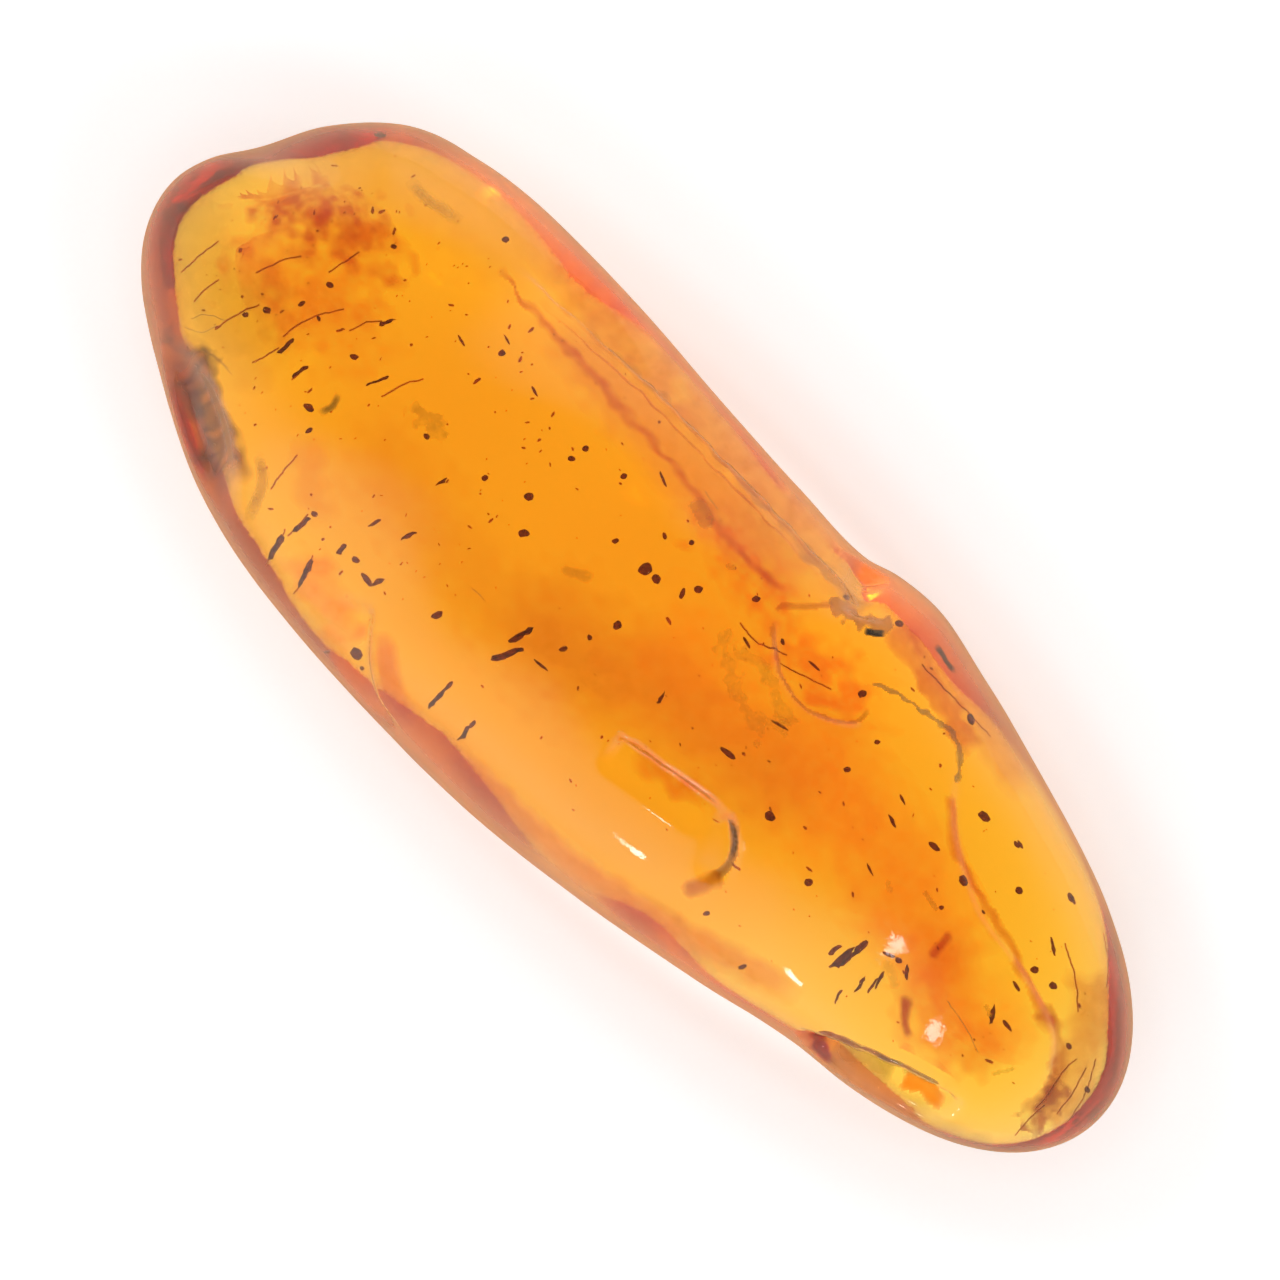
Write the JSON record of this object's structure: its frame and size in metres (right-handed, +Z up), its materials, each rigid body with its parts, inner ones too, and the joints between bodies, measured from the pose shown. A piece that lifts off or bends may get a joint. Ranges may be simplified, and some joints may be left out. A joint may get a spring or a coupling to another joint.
{
  "type": "amber pebble",
  "caption": "Long tumbled pebble of see-through orange amber with plant debris sealed inside, a blunt end, a tapering tip and a worn flat to rest on.",
  "frame": {"origin": "on the worn flat underneath, below the middle of the pebble's box", "axes": "+X along the pebble towards its tapering tip, +Z up through its thickness, +Y towards the flank with the broken ledge"},
  "size_m": [0.045, 0.0164, 0.0107],
  "materials": {
    "amber": "tumbled to a soft polish, see-through, orange-yellow with darker flow lines and debris inside"
  },
  "bodies": {
    "root": {"amber_pebble": "amber"}
  },
  "joints": []
}
